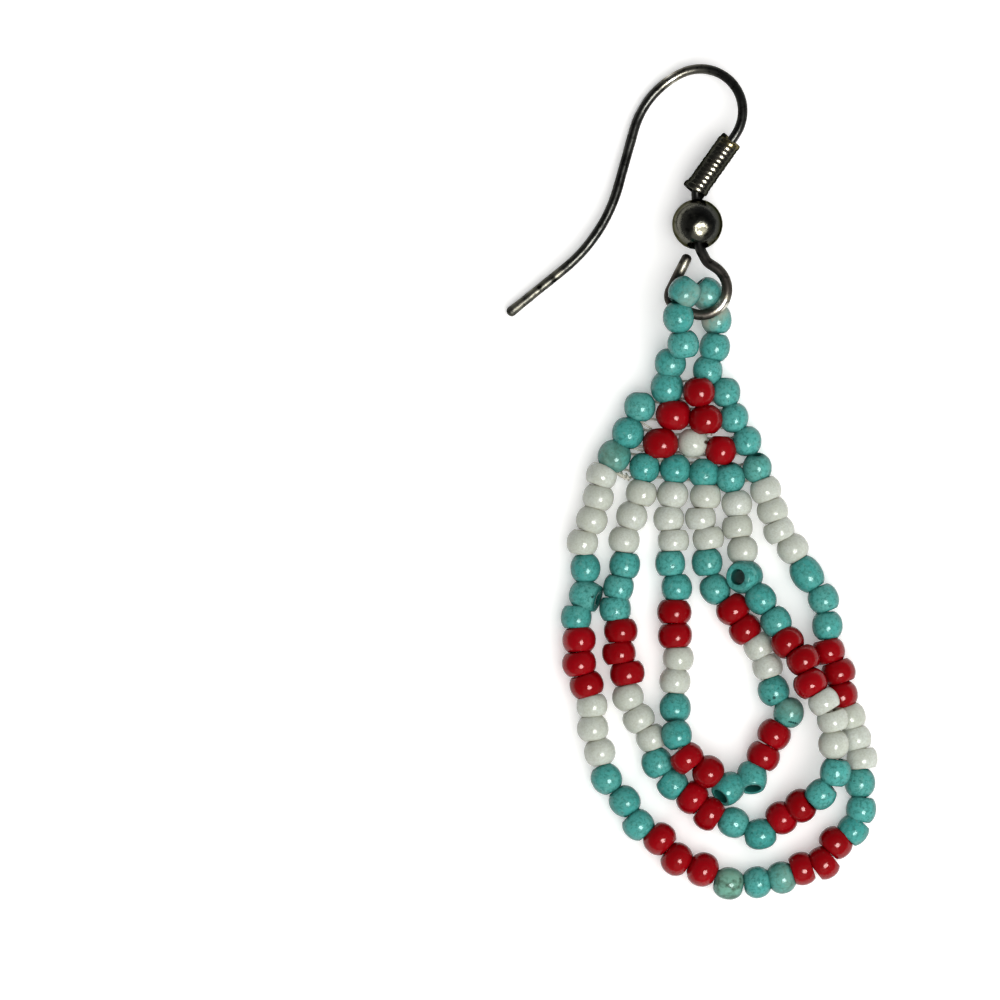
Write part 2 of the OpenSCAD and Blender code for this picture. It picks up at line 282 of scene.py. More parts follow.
# Meshes: sides and rows, the finer ones for a bead with chips; steps to a turn of the coil
WIRE_SIDES, COIL_SIDES, BALL_SIDES, THREAD_SIDES = 28, 20, 96, 8
COIL_STEPS, BALL_ROWS = 36, 60
BEAD_SIDES, BEAD_ROWS = 32, 17
FINE_SIDES, FINE_ROWS = 128, 61
# Angles of the rings in a wire's domed end, and the dome's height as a share of the radius
DOME, DOME_HIGH = (28, 52, 72, 86), 0.8
# Camera: its place, and the width that it shows at the height of the beads
CAMERA = (-11.94, -1.22, 500.0)
SHOWN = 62.5
# The wide light and the lamp come from over the lower right. In metres: place and diameter;
# then power and colour
SOFT = ((0.158, -0.155, 0.430), 0.90, 4.8, (1.0, 0.99, 0.965))
LAMP = ((0.135, -0.165, 0.4525), 0.23, 3.4, (1.0, 0.99, 0.965))
LOW = ((0.0, -0.425, 0.30), 0.45, 0.20, (1.0, 0.98, 0.94))
# Strength of the light from all round: at the horizon, overhead, and how high up that starts
ROUND_LOW, ROUND_HIGH, ROUND_UP = 0.24, 0.06, 0.7
# The floor in metres; it glows slightly, so that the shadows stay faint
FLOOR_HALF, FLOOR_GLOW = 0.6, 0.24


# ---------------------------------------------------------------- meshes
def unit(v):
    v = np.asarray(v, float)
    return v / np.linalg.norm(v)


class Build:
    """Points and faces of one piece, gathered part by part."""

    def __init__(self):
        self.points, self.faces, self.marks, self.count = [], [], {}, 0

    def add(self, points, faces, **marks):
        self.points.append(points)
        self.faces.append(np.asarray(faces) + self.count)
        for name, values in marks.items():
            self.marks.setdefault(name, []).append(np.broadcast_to(values, len(points)))
        self.count += len(points)

    def make(self, name, material, slot, *nodes):
        points = np.concatenate(self.points) * MM
        mesh = bpy.data.meshes.new(name)
        mesh.from_pydata(points.tolist(), [], [f for part in self.faces for f in part.tolist()])
        for mark, values in self.marks.items():
            layer = mesh.attributes.new(mark, "FLOAT", "POINT")
            layer.data.foreach_set("value", np.concatenate(values).astype(np.float32))
        mesh.polygons.foreach_set("use_smooth", [True] * len(mesh.polygons))
        mesh.materials.append(material)
        mesh.update()
        piece = bpy.data.objects.new(name, mesh)
        bpy.context.scene.collection.objects.link(piece)
        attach(piece, "root")
        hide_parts(*nodes)
        return piece


def ring_faces(rings, sides, closed=False):
    """Quads between rings of points; closed joins the last ring to the first."""
    faces = []
    for i in range(rings if closed else rings - 1):
        a, b = i * sides, (i + 1) % rings * sides
        faces += [(a + k, a + (k + 1) % sides, b + (k + 1) % sides, b + k) for k in range(sides)]
    return faces


def frames_along(points):
    """Direction and two cross directions at each point, turned as little as possible."""
    ways = np.array([unit(points[min(i + 1, len(points) - 1)] - points[max(i - 1, 0)])
                     for i in range(len(points))])
    side = unit(np.cross(ways[0], (0.1, 0.2, 1.0)))
    out = []
    for way in ways:
        side = unit(side - way * side.dot(way))
        out.append((way, side, np.cross(way, side)))
    return out


def tube(points, radii, sides):
    """A closed round bar through the points, with domed ends."""
    points = np.asarray(points, float)
    radii = np.broadcast_to(radii, len(points)).astype(float)
    frames = frames_along(points)
    dome = [(math.sin(math.radians(a)), math.cos(math.radians(a))) for a in DOME]
    rings = [(points[0] - frames[0][0] * radii[0] * DOME_HIGH * s, radii[0] * c, frames[0])
             for s, c in reversed(dome)]
    rings += zip(points, radii, frames)
    rings += [(points[-1] + frames[-1][0] * radii[-1] * DOME_HIGH * s, radii[-1] * c, frames[-1])
              for s, c in dome]
    turn = np.arange(sides) * 2 * math.pi / sides
    verts = np.concatenate([
        at + r * (np.cos(turn)[:, None] * side + np.sin(turn)[:, None] * up)
        for at, r, (_, side, up) in rings])
    faces = ring_faces(len(rings), sides)
    # Strips of quads close the two end rings
    last = (len(rings) - 1) * sides
    for k in range(sides // 2 - 1):
        a, b, c, d = k, k + 1, sides - 2 - k, sides - 1 - k
        faces += [(b, a, d, c), (last + c, last + d, last + a, last + b)]
    return verts, faces


def curve_through(points, step):
    """A smooth curve through the points, sampled about every step."""
    p = np.asarray(points, float)
    p = np.vstack([2 * p[0] - p[1], p, 2 * p[-1] - p[-2]])
    out = []
    for a, b, c, d in zip(p, p[1:], p[2:], p[3:]):
        n = max(2, int(np.linalg.norm(c - b) / step))
        for t in np.arange(n) / n:
            out.append(0.5 * (2 * b + (c - a) * t + (2 * a - 5 * b + 4 * c - d) * t * t
                              + (3 * b - 3 * c + d - a) * t ** 3))
    return np.array(out + [p[-2]])


# ---------------------------------------------------------------- ear wire, coil and ball
def in_wire_plane(u, v, w=0.0):
    """A point of the ear wire's own plane, whose origin is the ball's centre."""
    y = v * math.cos(LEAN_X) - w * math.sin(LEAN_X)
    z = v * math.sin(LEAN_X) + w * math.cos(LEAN_X)
    return BALL_AT + (u * math.cos(LEAN_Y) + z * math.sin(LEAN_Y), y,
                      -u * math.sin(LEAN_Y) + z * math.cos(LEAN_Y))


def run_points(run, heading):
    """Points along a run of straights and bends that starts at the ball's centre."""
    x = y = 0.0
    h = math.radians(heading)
    out = [(x, y)]
    for length, radius, angle in run:
        n = max(1, int(length / RUN_STEP))
        out += [(x + math.cos(h) * length * k / n, y + math.sin(h) * length * k / n)
                for k in range(1, n + 1) if length]
        x, y = x + length * math.cos(h), y + length * math.sin(h)
        if angle:
            side, turn = math.copysign(1, angle), math.radians(angle)
            cx, cy = x - side * radius * math.sin(h), y + side * radius * math.cos(h)
            n = max(4, int(radius * abs(turn) / RUN_STEP), int(abs(angle) / 6))
            out += [(cx + side * radius * math.sin(h + turn * k / n),
                     cy - side * radius * math.cos(h + turn * k / n)) for k in range(1, n + 1)]
            h += turn
            x, y = out[-1]
    return out


def shank_line():
    """Start and direction of the straight that the coil sits on, in the wire's plane."""
    first = run_points(WIRE_UP[:1], SHANK_TURN)
    h = math.radians(SHANK_TURN + WIRE_UP[0][2])
    return np.array(first[-1]), np.array([math.cos(h), math.sin(h)])


def make_hook(metal):
    """The ear wire, from its free tip to the open end of the ring."""
    up = run_points(WIRE_UP, SHANK_TURN)
    down = run_points(WIRE_DOWN, SHANK_TURN - 180)
    flat = np.array(up[::-1] + down[1:])
    # Slight unevenness of a wire bent by hand
    along = np.arange(len(flat)) * RUN_STEP
    wave = 0.012 * np.sin(along * 1.1) + 0.008 * np.sin(along * 2.7 + 1)
    line = np.array([in_wire_plane(u, v, w) for (u, v), w in zip(flat, wave)])
    # Below the ball it bends to the right a little sooner than in the solid
    neck = np.exp(-((line[:, 1] - NECK_Y) / NECK_REACH) ** 2) * (line[:, 0] > 0.1)
    line[:, 0] += NECK_MOVE * neck
    radii = WIRE_R * (1 + 0.012 * np.sin(along * 1.9 + 0.4) + 0.008 * np.sin(along * 4.3))
    radii[:len(TIP_THICKER)] *= TIP_THICKER
    radii[len(up):] *= RING_THICKER
    part = Build()
    points, faces = tube(line[1:-1], radii[1:-1], WIRE_SIDES)
    # The straight end, which goes through the ear, is the most worn, and a few places get a
    # painted highlight
    wear = np.clip(1 - np.linalg.norm(points - line[1], axis=1) / WORN_L, 0, 1) ** 0.6
    # Painted highlights: a lighter metal colour at the listed places, where the lamp's reflection
    # falls
    shine = np.zeros(len(points))
    for x, y, wide, much in WIRE_PAINTED_HIGHLIGHTS:
        away = np.hypot(points[:, 0] - x, points[:, 1] - y)
        shine = np.maximum(shine, much * np.exp(-(away / wide) ** 2))
    ring = np.clip((FILM_Y - points[:, 1]) / FILM_REACH, 0, 1) * (points[:, 0] > -2)
    part.add(points, faces, wire_wear=wear, wire_shine=shine, wire_ring=ring)
    return part.make("ear_hook_wire", metal, "steel", "ear_hook")


def make_coil(metal):
    """The coil's wire in close turns, pressed flat where they touch, with square-cut ends."""
    base, way = shank_line()
    left = np.array([-way[1], way[0]])
    turn = np.arange(COIL_SIDES) * 2 * math.pi / COIL_SIDES
    out = COIL_OUT * np.sign(np.cos(turn)) * np.abs(np.cos(turn)) ** 0.55
    along = COIL_ALONG * np.sign(np.sin(turn)) * np.abs(np.sin(turn)) ** 0.75
    start = COIL_START - 0.16 + COIL_WIRE_R
    reach = COIL_PITCH * COIL_TURNS - 2 * COIL_WIRE_R - 0.06
    rings, shine = [], []
    for k in range(-COIL_STEPS // 2, COIL_TURNS * COIL_STEPS + 1):
        t = k / COIL_STEPS
        s = start + reach * t / COIL_TURNS
        r = (WIRE_R + COIL_GAP + COIL_WIRE_R + 0.008 * math.sin(t * 2.3)
             + FIRST_WIDER * math.exp(-abs(t) / 0.35) - END_TUCK * max(0.0, -t))
        middle = base + way * s + left * COIL_LEFT
        spin = 2 * math.pi * (t - 0.04)
        side = np.array([*(left * math.cos(spin)), math.sin(spin)])
        up = np.array([*way, 0.0])
        rings.append([in_wire_plane(*(np.array([*middle, 0.0]) + side * (r + a) + up * b))
                      for a, b in zip(out, along)])
        # A painted highlight on each turn: the metal lighter round the angle that faces the lamp
        off = (spin - math.radians(PAINTED_HIGHLIGHT_AT) + math.pi) % (2 * math.pi) - math.pi
        shine += [math.exp(-(off / math.radians(PAINTED_HIGHLIGHT_REACH)) ** 2)] * COIL_SIDES
    part = Build()
    verts = np.array(rings).reshape(-1, 3)
    part.add(verts, ring_faces(len(rings), COIL_SIDES), wire_shine=shine)
    fan = [(k, (k + 1) % COIL_SIDES, COIL_SIDES) for k in range(COIL_SIDES)]
    for ring in (rings[0][::-1], rings[-1]):
        part.add(np.vstack([ring, np.mean(ring, axis=0)]), fan, wire_shine=0.0)
    return part.make("coil_wire", metal, "steel", "wire_coil")


def lathe(section, sides, at, axis, squash=(1.0, 1.0)):
    """A ring-shaped body: a closed section (radius, height) turned about an axis."""
    axis = unit(axis)
    side = unit(np.cross(axis, (0.13, 0.21, 1.0) if abs(axis[2]) < 0.95 else (1, 0, 0)))
    up = np.cross(axis, side)
    turn = np.arange(sides) * 2 * math.pi / sides
    verts = np.concatenate([
        at + h * axis + r * (squash[0] * np.cos(turn)[:, None] * side
                             + squash[1] * np.sin(turn)[:, None] * up)
        for r, h in section])
    return verts, ring_faces(len(section), sides, closed=True)


def make_ball(metal):
    """The ball, with its hole along the shank, and its dents."""
    h = math.radians(SHANK_TURN)
    axis = in_wire_plane(math.cos(h), math.sin(h) * math.cos(BALL_LEAN),
                         math.sin(h) * math.sin(BALL_LEAN)) - BALL_AT
    big = BALL_R + BALL_MORE
    rim = math.asin((BALL_HOLE_R + 0.05) / big)
    outer = [(big * math.sin(a), big * math.cos(a))
             for a in np.linspace(rim, math.pi - rim, BALL_ROWS)]
    top = math.sqrt(big ** 2 - BALL_HOLE_R ** 2) - 0.06
    inner = [(BALL_HOLE_R, y) for y in np.linspace(-top, top, 8)]
    points, faces = lathe((outer + inner)[::-1], BALL_SIDES, BALL_AT + BALL_SHIFT, axis)
    away = np.linalg.norm(points - BALL_AT - BALL_SHIFT, axis=1)
    shell = away > big * 0.98
    ways = (points - BALL_AT - BALL_SHIFT) / away[:, None]
    for way, wide, deep in DENTS:
        angle = np.arccos(np.clip(ways @ unit(way), -1, 1))
        points -= (ways * (deep * np.exp(-(angle / wide) ** 2) * shell)[:, None])
    part = Build()
    part.add(points, faces)
    return part.make("ball_shell", metal, "steel", "ball_bead")


# ---------------------------------------------------------------- beads
def bead_section(radius, half, necks, hole, rows):
    """Closed section of a glass bead: round belly, narrower ends with soft edges, hole."""
    outer = []
    for y in np.sin(np.linspace(-1, 1, rows) * math.radians(82)) * half:
        sink = 1 - necks[int(y > 0)] ** 2
        outer.append((radius * math.sqrt(1 - sink * (abs(y) / half) ** 2.2), y))

    def end(r):
        return [(r - 0.05, half), (hole + 0.07, half), (hole + 0.02, half - 0.03),
                (hole, half - 0.1)]

    bore = [(hole, half * k) for k in (0.45, 0.0, -0.45)]
    start = [(r, -y) for r, y in reversed(end(outer[0][0]))]
    return (outer + end(outer[-1][0]) + bore + start)[::-1]


def add_bead(part, at, axis, radius, half, necks, open_hole, faded, stain, spots):
    """One bead, with the small faults of a hand-broken tube bead."""
    hole = open_hole or min(HOLE_R, min(necks) * radius - 0.15)
    rows, sides = (FINE_ROWS, FINE_SIDES) if spots else (BEAD_ROWS, BEAD_SIDES)
    section = bead_section(radius, half, necks, hole, rows)
    oval = 1 + rng.uniform(-UNEVEN_ROUND, UNEVEN_ROUND)
    points, faces = lathe(section, sides, np.zeros(3), (0, 0, 1), (oval, 1 / oval))
    turn = np.arctan2(points[:, 1], points[:, 0])
    phase = rng.uniform(0, 6.28, 4)
    lump = (0.010 * np.sin(2 * turn + phase[0]) + 0.007 * np.sin(3 * turn + phase[1])
            + 0.008 * np.sin(turn + 3 * points[:, 2] + phase[2]))
    wide = np.hypot(points[:, 0], points[:, 1])
    out = wide > hole + 0.05
    points[out, :2] *= 1 + lump[out, None]
    axis = unit(axis)
    side = unit(np.cross(axis, (0.2, 0.1, 1.0) if abs(axis[2]) < 0.9 else (1, 0.2, 0)))
    up = np.cross(axis, side)
    spin = rng.uniform(0, 6.28)
    x = side * math.cos(spin) + up * math.sin(spin)
    y = np.cross(axis, x)
    world = at + points[:, :1] * x + points[:, 1:2] * y + points[:, 2:] * axis
    world[:, 2] += max(0.0, 0.004 - world[:, 2].min())
    # How far each point lies from the nearest chip, in shares of the chip's radius
    away = np.full(len(world), 9.0)
    for dx, dy, size in spots:
        away = np.minimum(away, np.hypot(*(world[:, :2] - at[:2] - (dx, dy)).T) / size)
    away[world[:, 2] < at[2]] = 9.0
    fade = 0.0
    if faded:
        much, side = faded[0], math.radians(faded[1])
        toward = (world[:, :2] - at[:2]) @ (math.cos(side), math.sin(side)) / radius
        fade = much * np.clip(0.5 + 0.9 * toward, 0, 1)
    part.add(world, faces, bead_seed=rng.uniform(), bead_fade=fade, bead_stain=stain,
             bead_spot=np.minimum(away, 3.0),
             bead_rim=np.clip(np.abs(points[:, 2]) / half, 0, 0.87 if open_hole else 1),
             bead_bore=np.where(out, 0.0, 1.0))


def height_on(route, x, y):
    """Height of a route where it passes nearest to x, y."""
    line = curve_through(route, 0.2)
    k = np.argmin((line[:, 0] - x) ** 2 + (line[:, 1] - y) ** 2)
    return line[k, 2]


def seen_at(x, y, z):
    """The point at height z that the camera sees over x, y of the lying beads."""
    nearer = (CAMERA[2] - z) / (CAMERA[2] - LIE_Z)
    x, y = (c + (v - c) * nearer for c, v in zip(CAMERA, (x, y)))
    return np.array([x, y, z])


def chart():
    """Every bead: node, number in it, colour, and place as the camera sees it."""
    beads = []
    for node, places in PLACES.items():
        for i, (x, y) in enumerate(places):
            z = HEIGHTS.get((node, i), height_on(ROUTES[node], x, y))
            beads.append([node, i, COLOURS[node][i], seen_at(x, y, z)])
    for i, (x, y, colour) in enumerate(bead for row in ROWS for bead in row):
        z = HEIGHTS.get(("woven_top", i), LIE_Z)
        beads.append(["woven_top", i, colour, seen_at(x, y, z)])
    return beads


def neighbours(beads, i):
    """The beads before and after bead i on its string, or None at the string's end."""
    node, k = beads[i][:2]
    before = i - 1 if k > 0 and node != "woven_top" else None
    after = i + 1 if i + 1 < len(beads) and beads[i + 1][0] == node != "woven_top" else None
    return before, after


def hole_directions(beads, at):
    """Direction of each bead's hole: along its string, up in the triangle, or as it turned."""
    out = []
    for i, (node, k, _, _) in enumerate(beads):
        before, after = neighbours(beads, i)
        if (node, k) in TURNED:
            way = TURNED[(node, k)]
        elif node == "woven_top":
            way = (0.06 * math.sin(k * 2.3), 1.0, 0.10 * math.sin(k * 1.7))
        else:
            way = at[i if after is None else after] - at[i if before is None else before]
        out.append(unit(way))
    return np.array(out)


def settle(beads):
    """Moves beads that would run into each other apart, and keeps them on the surface."""
    home = np.array([b[3] for b in beads])
    at = home + rng.uniform(-UNEVEN_PLACE, UNEVEN_PLACE, home.shape)
    radius = np.array([KINDS[b[2]][0] / 2 for b in beads])
    radius *= rng.uniform(1 - UNEVEN_SIZE, 1 + UNEVEN_SIZE, len(beads))
    radius *= [SIZES.get((b[0], b[1]), 1.0) for b in beads]
    half = np.array([KINDS[b[2]][1] / 2 for b in beads])
    joined = np.zeros((len(beads), len(beads)), bool)
    for i in range(len(beads)):
        for j in neighbours(beads, i):
            if j is not None:
                joined[i, j] = joined[j, i] = True
    for _ in range(SETTLE_ROUNDS):
        ways = hole_directions(beads, at)
        gap = at[:, None] - at[None]
        apart = np.linalg.norm(gap, axis=2) + np.eye(len(beads)) * 99
        to = gap / apart[..., None]
        lean = np.einsum("ijk,ik->ij", to, ways) ** 2
        reach = np.sqrt(half[:, None] ** 2 * lean + radius[:, None] ** 2 * (1 - lean))
        over = np.clip(reach + reach.T - apart, 0, 0.3)
        over[joined] = 0
        # Mostly up and down, and then some of the way back home
        push = (to * over[..., None]).sum(axis=1) * 0.35
        push[:, :2] *= 0.2
        at += push + (home - at) * (0.25, 0.25, 0.03)
        floor = np.sqrt(half ** 2 * ways[:, 2] ** 2 + radius ** 2 * (1 - ways[:, 2] ** 2))
        at[:, 2] = np.maximum(at[:, 2], floor)
    return at, hole_directions(beads, at), radius, half


def places_in(node, beads, at):
    """The places of a node's beads, in their order."""
    return [at[i] for i, bead in enumerate(beads) if bead[0] == node]


def fit_lengths(beads, at, ways, half):
    """Each bead of a string reaches from its one neighbour to the other, end to end."""
    middle, along, length = at.copy(), ways.copy(), half.copy()
    woven = places_in("woven_top", beads, at)

    def contact(i, j):
        """The point between two beads of a string where their ends meet."""
        share = half[i] / (half[i] + half[j])
        if (beads[j][0], beads[j][1]) in TURNED:
            share = 1 - half[j] / np.linalg.norm(at[j] - at[i])
        return at[i] + (at[j] - at[i]) * share

    for i, (node, k, _, _) in enumerate(beads):
        if node == "woven_top" or (node, k) in TURNED:
            continue
        before, after = neighbours(beads, i)
        first, last = (woven[h] for h in HUNG[node])
        start = (contact(i, before) if before is not None
                 else at[i] + unit(first - at[i]) * half[i])
        end = (contact(i, after) if after is not None
               else at[i] + unit(last - at[i]) * half[i])
        way = unit(end - start)
        back, ahead = (start - at[i]).dot(way), (end - at[i]).dot(way)
        middle[i] = at[i] + way * (back + ahead) / 2
        along[i] = way
        length[i] = np.clip((ahead - back) / 2, half[i] * SHORTEST, half[i] * LONGEST) + 0.008
    return middle, along, length


def make_beads(materials):
    """Makes the beads, a piece for each node and colour, and gives their chart and places."""
    beads = chart()
    at, ways, radius, half = settle(beads)
    at, ways, length = fit_lengths(beads, at, ways, half)
    parts = {}
    for i, (node, k, colour, _) in enumerate(beads):
        part = parts.setdefault((node, colour), Build())
        tilt = rng.uniform(-UNEVEN_TILT, UNEVEN_TILT, 3)
        if node == "woven_top":
            shape = WOVEN_SHAPES[colour]
        else:
            # A longer bead is as round as the others, so its ends are narrower
            sink = min(0.8, (1 - KINDS[colour][2] ** 2) * (length[i] / half[i]) ** 2.2)
            shape = (length[i], math.sqrt(1 - sink), math.sqrt(1 - sink))
        long, *necks = SHAPES.get((node, k), shape)
        if (node, k) not in SHAPES:
            long *= max(1.0, SIZES.get((node, k), 1.0))
        add_bead(part, at[i], ways[i] + tilt, radius[i], long, necks, OPEN.get((node, k)),
                 FADED.get((node, k)), STAINED.get((node, k), 0.0), SPOTS.get((node, k), ()))
    for (node, colour), part in parts.items():
        part.make(f"{node}_{WORDS[colour]}_beads", materials[colour], WORDS[colour], node)
    return beads, at


# ---------------------------------------------------------------- thread
def make_thread(material, beads, at):
    """The threads of the strings, a piece for each, and the stitches of the woven rows."""
    woven = places_in("woven_top", beads, at)
    for node in PLACES:
        first, last = (woven[h] for h in HUNG[node])
        run = places_in(node, beads, at)
        route = [first] + run + [last]
        part = Build()
        # Inside a bead that has turned, the thread runs along its edge, out of sight
        cuts = [0] + [i + 1 for i in range(len(run)) if (node, i) in TURNED] + [len(route) - 1]
        for a, b in zip(cuts, cuts[1:]):
            piece = [np.array(p) for p in route[a:b + 1]]
            if len(piece) < 2:
                continue
            if a:
                piece[0] = piece[0] + unit(piece[1] - piece[0]) * THREAD_STOP
            if b < len(route) - 1:
                piece[-1] = piece[-1] + unit(piece[-2] - piece[-1]) * THREAD_STOP
            line = curve_through(piece, 0.3)
            for side in (-STRAND_SIDE, STRAND_SIDE):
                shift = np.array([(side, 0.02, 0.06 * side)])
                part.add(*tube(line + shift, THREAD_R, THREAD_SIDES))
        part.make(f"{node}_thread", material, "thread", node)
    # Stitches: up through each bead, and from bead to bead but in the open top row
    part = Build()
    up = np.array([0, STITCH_HALF, 0])
    start = 0
    for row in ROWS:
        spots = woven[start:start + len(row)]
        for k, c in enumerate(spots):
            if ("woven_top", start + k) not in TURNED:
                part.add(*tube(curve_through([c - up, c, c + up], 0.4), STITCH_R, THREAD_SIDES))
            if k + 1 < len(row) and row is not ROWS[-1]:
                d = spots[k + 1]
                for s in (1, -1):
                    a, b = c + (0, s * STITCH_HALF, -0.1), d + (0, s * STITCH_HALF, -0.1)
                    m = (a + b) / 2 + (0, -s * 0.25, -0.40)
                    part.add(*tube(curve_through([a, m, b], 0.2), CROSS_R, THREAD_SIDES))
        start += len(row)
    for glimpse in GLIMPSES:
        part.add(*tube(curve_through(glimpse, 0.06), GLIMPSE_R, THREAD_SIDES))
    part.make("woven_top_stitches", material, "thread", "woven_top")


# ---------------------------------------------------------------- materials
class Nodes:
    """Short hand for building a material's node tree."""

    def __init__(self, name):
        self.material = bpy.data.materials.new(name)
        self.material.use_nodes = True
        self.tree = self.material.node_tree
        self.shader = self.tree.nodes["Principled BSDF"]
        self.coords = self.add("ShaderNodeTexCoord").outputs["Object"]

    def add(self, kind, **values):
        node = self.tree.nodes.new(kind)
        for key, value in values.items():
            setattr(node, key, value)
        return node

    def link(self, a, b):
        self.tree.links.new(a, b)

    def noise(self, per_mm, detail=3.0, rough=0.6, shift=0.0):
        """Noise with so many cells to the millimetre, from 0 to 1."""
        place = self.add("ShaderNodeMapping")
        place.inputs["Location"].default_value = (shift, shift * 0.7, -shift)
        self.link(self.coords, place.inputs["Vector"])
        node = self.add("ShaderNodeTexNoise")
        node.inputs["Scale"].default_value = per_mm * 1000
        node.inputs["Detail"].default_value = detail
        node.inputs["Roughness"].default_value = rough
        self.link(place.outputs["Vector"], node.inputs["Vector"])
        return node.outputs["Fac"]

    def mark(self, name):
        return self.add("ShaderNodeAttribute", attribute_name=name).outputs["Fac"]

    def near(self, point, radii):
        """How far a place is from a point, in shares of the radii; all in mm."""
        shift = self.add("ShaderNodeVectorMath", operation="SUBTRACT")
        self.link(self.coords, shift.inputs[0])
        shift.inputs[1].default_value = [v * MM for v in point]
        share = self.add("ShaderNodeVectorMath", operation="DIVIDE")
        self.link(shift.outputs["Vector"], share.inputs[0])
        share.inputs[1].default_value = [v * MM for v in radii]
        size = self.add("ShaderNodeVectorMath", operation="LENGTH")
        self.link(share.outputs["Vector"], size.inputs[0])
        return size.outputs["Value"]

    def chip(self):
        """Where a bead has a chip or a pit, with an uneven edge."""
        spot = self.mark("bead_spot")
        edge = self.math("ADD", spot, self.span(self.noise(9.0), 0.3, 0.7, -0.2, 0.2))
        return self.span(edge, 1.3, 0.7)

    def turning_away(self, low, high, much):
        """Where the surface turns away, as at the outline of a round bead."""
        return self.span(self.add("ShaderNodeLayerWeight").outputs["Facing"], low, high, 0, much)

    def gloss(self):
        """Level of gloss: low at the bead's outline, on its ends and in its hole."""
        ends = self.span(self.mark("bead_rim"), 0.90, 1.0)
        dull = self.math("MAXIMUM", self.mark("bead_bore"),
                         self.math("MAXIMUM", ends, self.turning_away(0.30, 0.85, 0.8)))
        return self.span(dull, 0, 1, 0.5, 0.04)

    def span(self, value, low, high, to_low=0.0, to_high=1.0):
        """The value, spread from low and high to two others, and kept between them."""
        node = self.add("ShaderNodeMapRange")
        for key, number in (("From Min", low), ("From Max", high),
                            ("To Min", to_low), ("To Max", to_high)):
            node.inputs[key].default_value = number
        self.link(value, node.inputs["Value"])
        return node.outputs["Result"]

    def math(self, kind, a, b):
        node = self.add("ShaderNodeMath", operation=kind)
        for socket, value in zip(node.inputs, (a, b)):
            if isinstance(value, (int, float)):
                socket.default_value = value
            else:
                self.link(value, socket)
        return node.outputs["Value"]

    def mix(self, amount, a, b):
        """Colour a, with so much of colour b over it."""
        node = self.add("ShaderNodeMix", data_type="RGBA")
        for socket, value in ((node.inputs[0], amount), (node.inputs[6], a), (node.inputs[7], b)):
            if isinstance(value, tuple):
                socket.default_value = (*value, 1.0)
            else:
                self.link(value, socket)
        return node.outputs[2]

    def bump(self, height, depth_mm):
        node = self.add("ShaderNodeBump")
        node.inputs["Distance"].default_value = depth_mm * MM
        self.link(height, node.inputs["Height"])
        self.link(node.outputs["Normal"], self.shader.inputs["Normal"])

    def set(self, **values):
        """Sets the shader's own sockets, by a number, a colour or a link."""
        for key, value in values.items():
            socket = self.shader.inputs[key.replace("_", " ").title().replace("Ior", "IOR")]
            if hasattr(value, "is_linked"):
                self.link(value, socket)
            elif isinstance(value, tuple) and len(value) == 3 and socket.type == "RGBA":
                socket.default_value = (*value, 1.0)
            else:
                socket.default_value = value


def turquoise_glaze():
    m = Nodes("turquoise_glaze")
    broad = m.noise(0.55, 2.0, 0.5)
    fine = m.noise(4.6, 4.0, 0.65, 0.003)
    speck = m.noise(3.2, 3.0, 0.7, 0.011)
    own = m.mark("bead_seed")
    colour = m.mix(m.span(own, 0, 1), (0.050, 0.308, 0.284), (0.083, 0.370, 0.340))
    colour = m.mix(m.span(broad, 0.45, 0.75, 0, 0.5), colour, (0.115, 0.345, 0.300))
    colour = m.mix(m.span(fine, 0.46, 0.66, 0, 0.85), colour, (0.030, 0.172, 0.152))
    colour = m.mix(m.span(m.noise(2.6, 3.0, 0.7, 0.031), 0.56, 0.70, 0, 0.45), colour,
                   (0.150, 0.380, 0.330))
    colour = m.mix(m.span(speck, 0.66, 0.72, 0, 0.75), colour, (0.020, 0.085, 0.075))
    pale = m.math("MULTIPLY", m.mark("bead_fade"),
                  m.span(m.noise(1.1, 3.0, 0.6, 0.02), 0.30, 0.50))
    colour = m.mix(pale, colour, (0.330, 0.345, 0.280))
    stained = m.mark("bead_stain")
    colour = m.mix(m.math("MULTIPLY", stained, 0.7), colour, (0.200, 0.385, 0.275))
    stain = m.math("MULTIPLY", m.span(stained, 0.0, 0.5),
                   m.span(m.noise(1.3, 3.0, 0.6, 0.04), 0.47, 0.62, 0, 0.85))
    colour = m.mix(stain, colour, (0.045, 0.085, 0.052))
    # Painted shade: darker at the outline as the surface turns away, on the ends where the beads
    # meet, and inside the hole
    colour = m.mix(m.turning_away(0.22, 0.80, 0.66), colour, (0.010, 0.080, 0.070))
    colour = m.mix(m.span(m.mark("bead_rim"), 0.84, 1.0, 0, 0.7), colour, (0.008, 0.080, 0.068))
    colour = m.mix(m.mark("bead_bore"), colour, (0.006, 0.060, 0.052))
    colour = m.mix(m.chip(), colour, (0.012, 0.062, 0.055))
    m.set(base_color=colour, roughness=m.span(fine, 0.3, 0.8, 0.11, 0.22), ior=1.4,
          specular_tint=(0.74, 1.0, 0.97), specular_ior_level=m.gloss())
    pits = m.math("ADD", m.span(speck, 0.62, 0.74, 0, -1.0), m.span(fine, 0.3, 0.7, 0, 0.07))
    m.bump(pits, 0.022)
    return m.material


